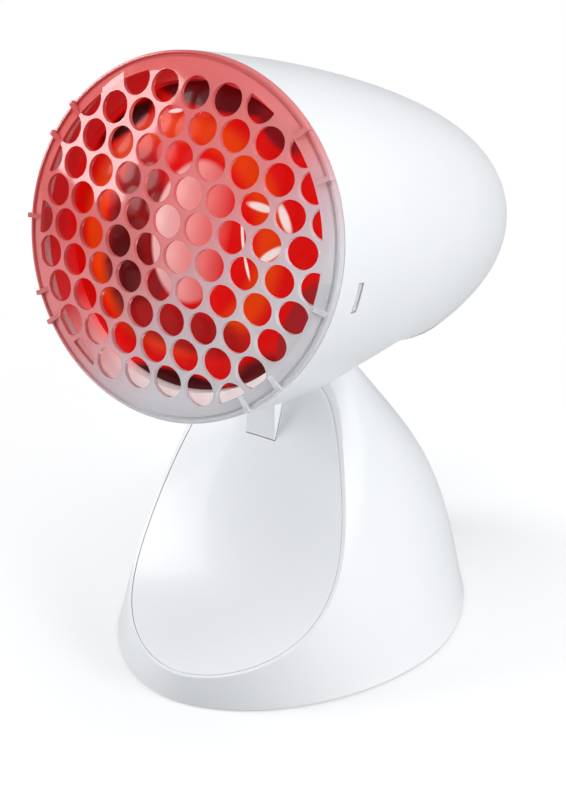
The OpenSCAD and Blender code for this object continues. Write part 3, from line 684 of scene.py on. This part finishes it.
def make_guard():
    guard = make_guard_blank()
    side = [(FIELD_R - 1, 1), (HEAD_R - 1, -1.2), (HEAD_R + 0.6, -1.2), (HEAD_R + 0.6, 2.4),
            (FIELD_R + 0.8, DOME_EDGE), (FIELD_R - 1, DOME_EDGE - 0.7)]
    for angle in RIB_ANGLES:
        rings = []
        for w in (-RIB_HALF, RIB_HALF):
            plan = turned([(r, w) for r, _ in side], math.radians(angle))
            rings.append([(x, y, z) for (x, y), (_, z) in zip(plan, side)])
        cut(guard, loft("rib", rings, HEAD_FRAME), "UNION")
    out, end = head_profile(TONGUE_AT, True) - 0.7, TONGUE_AT + 1.7
    for spin in TONGUE_SPINS:
        for inner, outer, start in ((out - 2, out, -0.6), (out - 1, out + 2.4, TONGUE_AT - 1.7)):
            cut(guard, block("tongue", (inner, outer), (-5.6, 5.6), (start, end), spin=spin), "UNION")
    place = bpy.data.objects.new("guard_place", None)
    place.matrix_world = HEAD_FRAME
    scene.collection.objects.link(place)
    bpy.context.view_layer.update()
    run_tree(guard, perforate_tree(), **{
        "Pitch": HOLE_PITCH, "Hole Radius": HOLE_R, "Row Offset": HOLE_ROW, "Field Radius": FIELD_R,
        "Finish": guard_painted_reflection, "Place": place})
    bpy.data.objects.remove(place)
    guard.name = "guard_perforated"
    finish(guard, 30)
    dress(guard, guard_painted_reflection, "clear_grille", "head", "guard_grille")


def lens_z(r):
    """Height of the bulb's face against the rim's plane."""
    return -LENS_CROWN - LENS_DISH * (r / BULB_R) ** 2


def make_bulb():
    steps, bore = 30, BULB_R - LENS_T
    outer = [(BULB_R * i / steps, lens_z(BULB_R * i / steps)) for i in range(steps)]
    edge = [(60.0, -11.85), (60.4, -12.2), (BULB_R, -12.8), (BULB_R, -16), (bore, -16)]
    inner = [(bore * i / steps, lens_z(bore * i / steps) - LENS_T) for i in range(steps, -1, -1)]
    lens = revolve("bulb_lens_smooth", outer + edge + inner, 128)
    finish(lens, 40)
    dress(lens, bulb_red, "red_glass", "head", "bulb_lens")


# ---- the base ----

def reach(outline, z):
    """How far one of the bell's outlines lies from the hinge at a height."""
    size, over, rise, close = outline
    return size * (1 - (z / (PIVOT_Z + over)) ** rise) ** close


def bell_ring(z, inset):
    h = max(0.0, z)
    ring = []
    for i in range(BELL_SIDES):
        a = 2 * math.pi * (i + 0.5) / BELL_SIDES
        c, s = math.cos(a), math.sin(a)
        wide = reach(BELL_SIDE, h) - inset
        deep = reach(BELL_FRONT if s < 0 else BELL_REAR, h) - inset
        ring.append((wide * math.copysign(abs(c) ** (2 / PLAN), c),
                     deep * math.copysign(abs(s) ** (2 / PLAN), s) + SHIFT_Y, z))
    return ring


def bell(name, inset, low=RIM_LIFT):
    """The bell, moved inwards by inset, from a height to the hinge."""
    levels = 64
    heights = [low + (PIVOT_Z - low) * k / levels for k in range(levels + 1)]
    return loft(name, [bell_ring(z, inset) for z in heights])


def knuckle(name, less=0.0):
    """The rounded top along the hinge, made smaller by less."""
    r, half, steps = KNUCKLE_R - less, KNUCKLE_HALF - less, 60
    outline = [(0, -half)]
    for i in range(1, steps):
        x = -half * math.cos(math.pi * i / steps)
        outline.append((r * (1 - abs(x / half) ** PLAN) ** (1 / PLAN), x))
    return revolve(name, outline + [(0, half)], 128, HINGE_FRAME)


def panel_line(z, d):
    """How far before the hinge the panel's middle line lies at a height, moved inwards by d."""
    up = z + 0.7 * d
    return PANEL_AT - PANEL_SLOPE * up + PANEL_FLARE * math.exp(-up / FLARE_FADE) - 0.8 * d


def before_panel(name, d):
    """All that lies before the panel's crowned face, moved inwards by d."""
    steps, levels, half, far = 48, 90, 70, 200
    rings = []
    for k in range(levels + 1):
        z = PANEL_LOW + (PANEL_CUT_TOP - PANEL_LOW) * (k / levels) ** 1.4
        crown = 0.003 + 0.0078 * (z / PANEL_TOP) ** 7
        ring = [(x, crown * x * x - panel_line(z, d) + SHIFT_Y, z)
                for x in (half * (1 - 2 * i / steps) for i in range(steps + 1))]
        rings.append(ring + [(-half, -far, z), (half, -far, z)])
    return loft(name, rings)


def neck_room(name, angle):
    """Room for the neck at a tilt of the head: a disc about the hinge, cut off behind."""
    sides = 96
    turns = [2 * math.pi * i / sides for i in range(sides)]
    outline = [(min(NECK_ROOM_R * math.cos(a), NECK_ROOM_BACK), NECK_ROOM_R * math.sin(a))
               for a in turns]
    return across(name, turned(outline, math.radians(angle)), NECK_ROOM_HALF)


def rod(name, r, half, sides=96, place=HINGE_FRAME):
    return revolve(name, [(0, -half), (r, -half), (r, half), (0, half)], sides, place)


def upright_box(name, x, y, z):
    """A box between pairs of limits; y counts from the hinge."""
    plan = [(x[0], y[0]), (x[1], y[0]), (x[1], y[1]), (x[0], y[1])]
    return loft(name, [[(a, b + SHIFT_Y, k) for a, b in plan] for k in z])


def pillar(name, r, spot, z, sides=32):
    x, y = spot
    place = Matrix(((MM, 0, 0, x * MM), (0, MM, 0, (y + SHIFT_Y) * MM), (0, 0, MM, 0), (0, 0, 0, 1)))
    return revolve(name, [(0, z[0]), (r, z[0]), (r, z[1]), (0, z[1])], sides, place)


def make_bell_inside():
    """The hollow of the bell, round its seat, axle bosses and screw pillars."""
    inside = bell("bell_inside", BELL_WALL, low=-1)
    cut(inside, knuckle("cut", BELL_WALL), "UNION")
    cut(inside, before_panel("cut", PANEL_T + PANEL_GAP + 2))
    cut(inside, rod("cut", SEAT_R + BELL_WALL, SEAT_HALF + BELL_WALL))
    cut(inside, rod("cut", BOSS_R, BOSS_HALF))
    cut(inside, upright_box("cut", (-10.3, 10.3), (-19, 19), (PIVOT_Z - 46.6, PIVOT_Z - 34.6)))
    for spot in SCREW_SPOTS:
        cut(inside, pillar("cut", PILLAR_R, spot, (4.8, PIVOT_Z)))
    return inside


def rear_frame(z, lean):
    """From a frame square to the rear wall (outwards is +Z) to the lamp's."""
    c, d = math.cos(lean), math.sin(lean)
    return Matrix(((MM, 0, 0, 0), (0, MM * d, MM * c, (reach(BELL_REAR, z) + SHIFT_Y) * MM),
                   (0, -MM * c, MM * d, z * MM), (0, 0, 0, 1)))


def make_base_shell():
    shell = bell("base_shell_smooth", 0)
    cut(shell, knuckle("knuckle"), "UNION")
    cut(shell, make_bell_inside())
    cut(shell, before_panel("cut", 0))
    seat = bell("seat", PANEL_LIP)
    cut(seat, before_panel("cut", PANEL_T + PANEL_GAP), "INTERSECT")
    cut(seat, upright_box("cut", (-90, 90), (-190, 20), (-5, PANEL_TOP + PANEL_GAP)), "INTERSECT")
    cut(shell, seat)
    for angle in HEAD_TURNS:
        cut(shell, neck_room("cut", angle))
    cut(shell, rod("cut", AXLE_BORE_R, BOSS_HALF + 1))
    cut(shell, upright_box("cut", (-5.4, 5.4), (-15, 15), (PIVOT_Z - 43.6, PIVOT_Z - 35.6)))
    for spot in SCREW_SPOTS:
        cut(shell, pillar("cut", SCREW_BORE_R, spot, (-1, 16), 24))
    cut(shell, rod("cut", INLET_R, 15, 64, rear_frame(INLET_Z, 0)))
    below, above = SWITCH_Z - 8, SWITCH_Z + 8
    lean = math.atan((reach(BELL_REAR, below) - reach(BELL_REAR, above)) / (above - below))
    wall = rear_frame(SWITCH_Z, lean)
    a, b = SWITCH_HALF
    cut(shell, block("cut", (-a, a), (-b, b), (-16, 8), wall))
    a, b = a + SWITCH_FLANGE, b + SWITCH_FLANGE
    cut(shell, block("cut", (-a, a), (-b, b), (-8.1, SWITCH_RECESS), wall))
    finish(shell, 32)
    dress(shell, white_gloss, "white_shell", "base", "base_shell")


def make_front_panel():
    panel = bell("front_panel_smooth", PANEL_LIP + PANEL_GAP)
    cut(panel, before_panel("cut", PANEL_T), "INTERSECT")
    cut(panel, before_panel("cut", 0))
    cut(panel, upright_box("cut", (-90, 90), (-190, 20), (-5, PANEL_TOP)), "INTERSECT")
    for angle in HEAD_TURNS:
        cut(panel, neck_room("cut", angle))
    finish(panel, 32)
    dress(panel, white_gloss, "white_shell", "base", "front_panel")


make_head_shell()
make_guard()
make_bulb()
make_base_shell()
make_front_panel()

# ---- camera, floor and light ----

CAMERA_SPOT = (0.52604, (-804.05 + SHIFT_Y) * MM, 0.58797)
CAMERA_TURN = (math.radians(63.2), 0, math.radians(33.5))
CAMERA_LENS, SENSOR_HEIGHT = 75, 24
SOFT_SKY, SOFT_STRENGTH = (0.93, 0.96, 1, 1), 0.33
FLOOR_HALF = 6000                                        # millimetres
FLOOR_LIT, FLOOR_SEEN = (0.42, 0.43, 0.44, 1), (0.97, 0.97, 0.98, 1)
SHADOW_NEAR, SHADOW_FAR = 0.1, 0.34                      # metres from the lamp's middle
GLOW_NEAR = 0.42                                         # share of plain white at SHADOW_NEAR

camera_data = bpy.data.cameras.new("camera")
camera_data.sensor_fit = "VERTICAL"
camera_data.sensor_height = SENSOR_HEIGHT
camera_data.lens = CAMERA_LENS
camera = bpy.data.objects.new("camera", camera_data)
camera.location = CAMERA_SPOT
camera.rotation_euler = CAMERA_TURN
scene.collection.objects.link(camera)
scene.camera = camera
scene.view_settings.view_transform = "Standard"


def mix_shader(tree, factor, first, second, output):
    mix = tree.nodes.new("ShaderNodeMixShader")
    link(tree, factor, mix.inputs["Fac"])
    link(tree, first, mix.inputs[1])
    link(tree, second, mix.inputs[2])
    link(tree, mix.outputs[0], output.inputs["Surface"])


def make_world():
    """White where the camera looks, itself or through clear plastic, and a soft sky for the rest."""
    world = bpy.data.worlds.new("studio")
    scene.world = world
    world.use_nodes = True
    tree = world.node_tree
    tree.nodes.clear()
    output = tree.nodes.new("ShaderNodeOutputWorld")
    seen, soft = (tree.nodes.new("ShaderNodeBackground") for _ in range(2))
    put(seen, Color=(1, 1, 1, 1), Strength=1.0)
    put(soft, Color=SOFT_SKY, Strength=SOFT_STRENGTH)
    rays = tree.nodes.new("ShaderNodeLightPath").outputs
    either = math_node(tree, "MAXIMUM", rays["Is Camera Ray"], rays["Is Transmission Ray"])
    mix_shader(tree, either, soft.outputs[0], seen.outputs[0], output)


def make_floor():
    """Pale floor, grey in what it throws on the lamp and white to the camera away from the lamp."""
    f = FLOOR_HALF
    floor = piece("floor", [(-f, -f, 0), (f, -f, 0), (f, f, 0), (-f, f, 0)], [(0, 1, 2, 3)])
    mat, tree, bsdf = shader("pale_floor")
    put(bsdf, Roughness=0.7)
    seen = tree.nodes.new("ShaderNodeLightPath").outputs["Is Camera Ray"]
    tone = tree.nodes.new("ShaderNodeMix")
    tone.data_type = "RGBA"
    tone.inputs["A"].default_value = FLOOR_LIT
    tone.inputs["B"].default_value = FLOOR_SEEN
    link(tree, seen, tone.inputs["Factor"])
    link(tree, tone.outputs["Result"], bsdf.inputs["Base Color"])
    glow = tree.nodes.new("ShaderNodeEmission")
    put(glow, Color=(1, 1, 1, 1))
    spot = tree.nodes.new("ShaderNodeTexCoord")
    away = tree.nodes.new("ShaderNodeVectorMath")
    away.operation = "LENGTH"
    link(tree, spot.outputs["Object"], away.inputs[0])
    share = span(tree, away.outputs["Value"], SHADOW_NEAR, SHADOW_FAR, GLOW_NEAR, 1.0, True)
    share = math_node(tree, "MULTIPLY", seen, share)
    mix_shader(tree, share, bsdf.outputs[0], glow.outputs[0], tree.nodes["Material Output"])
    floor.data.materials.append(mat)
    return floor


def softbox(name, place, aim, size, power):
    data = bpy.data.lights.new(name, "AREA")
    data.shape = "RECTANGLE"
    data.size, data.size_y = size
    data.energy = power
    obj = bpy.data.objects.new(name, data)
    obj.location = place
    obj.rotation_euler = (Vector(aim) - Vector(place)).to_track_quat("-Z", "Y").to_euler()
    scene.collection.objects.link(obj)


make_world()
floor = make_floor()
softbox("key_left", (-1.5, -0.95, 0.76), (0, -0.03, 0.12), (1.0, 0.9), 24)
softbox("top", (0.1, 0.1, 1.6), (0, 0, 0.1), (1.2, 1.2), 11)
softbox("fill_right", (1.5, -0.05, 0.62), (0, 0, 0.12), (0.9, 1.0), 16.5)
